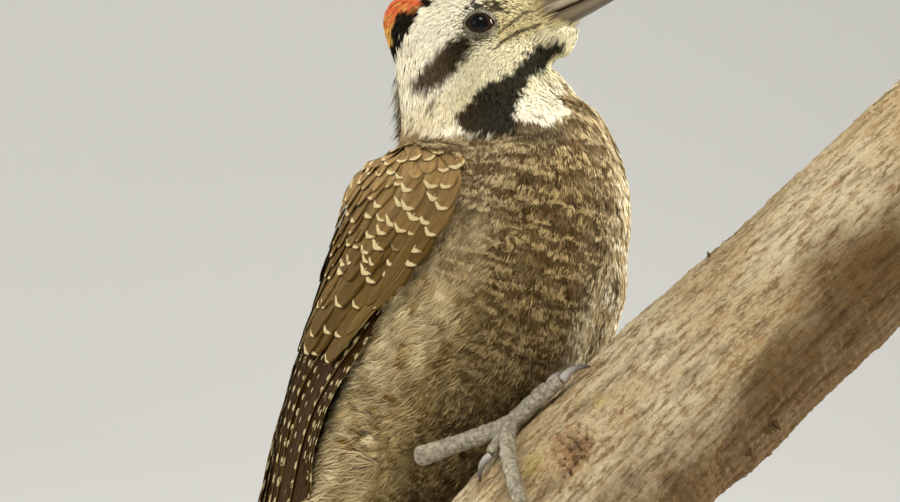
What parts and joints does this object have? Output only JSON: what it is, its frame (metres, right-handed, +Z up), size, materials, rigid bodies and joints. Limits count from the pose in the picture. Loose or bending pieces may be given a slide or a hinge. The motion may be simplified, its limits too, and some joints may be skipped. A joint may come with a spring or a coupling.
{
  "type": "woodpecker",
  "caption": "Life-size bearded woodpecker clinging to a slanting cut length of branch with its tail propped on the bark, on a flat stand with slim rods.",
  "frame": {"origin": "centre of the stand's flat underside", "axes": "+Z up, +X the way the bird looks, -Y the side the bird's right side shows from"},
  "size_m": [0.209, 0.124, 0.2575],
  "materials": {
    "feathers_white": "matt, dense short feathers",
    "feathers_barred": "matt, soft loose feathers",
    "feathers_brown": "satin, stiff overlapping feathers",
    "bill_horn": "satin horn",
    "claw_horn": "satin horn",
    "scaly_skin": "matt, scaled",
    "eye": "wet gloss",
    "bark": "rough, grey-tan weathered bark",
    "oiled_wood": "oiled, satin",
    "satin_steel": "satin"
  },
  "bodies": {
    "root": {"head": "feathers_white", "neck": "feathers_white", "trunk": "feathers_barred", "wing_right": "feathers_brown", "wing_left": "feathers_brown", "tail": "feathers_brown", "leg_right": "feathers_barred", "leg_left": "feathers_barred", "foot_right": "scaly_skin", "foot_left": "scaly_skin", "claw_right_inner_front": "claw_horn", "claw_right_outer_front": "claw_horn", "claw_right_outer_side": "claw_horn", "claw_right_inner_hind": "claw_horn", "claw_left_inner_front": "claw_horn", "claw_left_outer_front": "claw_horn", "claw_left_outer_side": "claw_horn", "claw_left_inner_hind": "claw_horn", "bill_upper": "bill_horn", "bill_lower": "bill_horn", "eye_right": "eye", "eye_left": "eye", "perch": "bark", "stand_base": "oiled_wood", "stand_rod_low": "satin_steel", "stand_rod_high": "satin_steel"}
  },
  "joints": []
}
